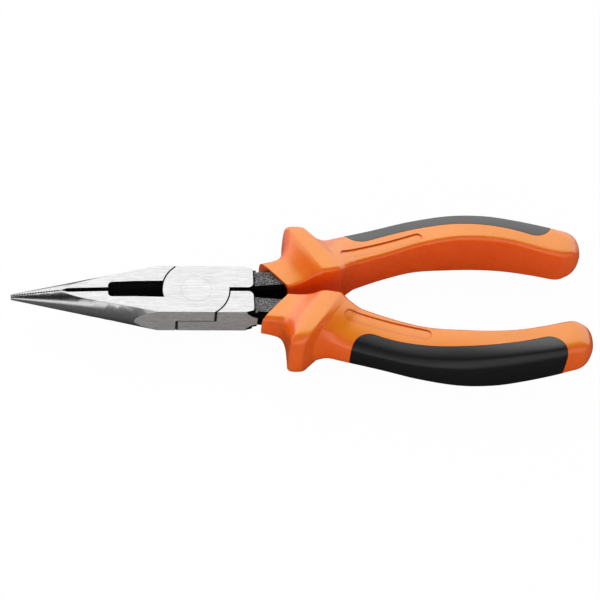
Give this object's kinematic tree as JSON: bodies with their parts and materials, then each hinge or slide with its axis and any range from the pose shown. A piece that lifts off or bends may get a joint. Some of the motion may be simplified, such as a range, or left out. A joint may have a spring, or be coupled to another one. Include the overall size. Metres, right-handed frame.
{
  "type": "needle nose pliers",
  "caption": "Long-nose pliers with a side cutter, toothed gripping faces, a riveted lap joint and curved two-part handles with guards.",
  "frame": {"origin": "on the pivot axis at the back face of the joint", "axes": "+X from the pivot towards the handle ends, with the jaw tips towards -X; +Y towards the upper jaw and the upper handle; +Z along the pivot axis, out of the front face"},
  "size_m": [0.1633, 0.0532, 0.0198],
  "materials": {
    "ground_steel": "fine-ground faces, darker ground sides, forged black tangs",
    "rivet_steel": "ground flush with the joint's faces",
    "orange_plastic": "satin moulded",
    "black_rubber": "smooth soft-touch"
  },
  "bodies": {
    "lower_jaw_half": {"lower_jaw_lever": "ground_steel", "pivot_rivet": "rivet_steel", "upper_handle_sleeve": "orange_plastic", "upper_soft_grip": "black_rubber"},
    "upper_jaw_half": {"upper_jaw_lever": "ground_steel", "lower_handle_sleeve": "orange_plastic", "lower_soft_grip": "black_rubber"}
  },
  "joints": [
    {"name": "jaw_pivot", "type": "hinge", "parent": "lower_jaw_half", "child": "upper_jaw_half", "pos_m": [0, 0, 0.00465], "axis": [0, 0, -1], "range_deg": [0, 45]}
  ]
}
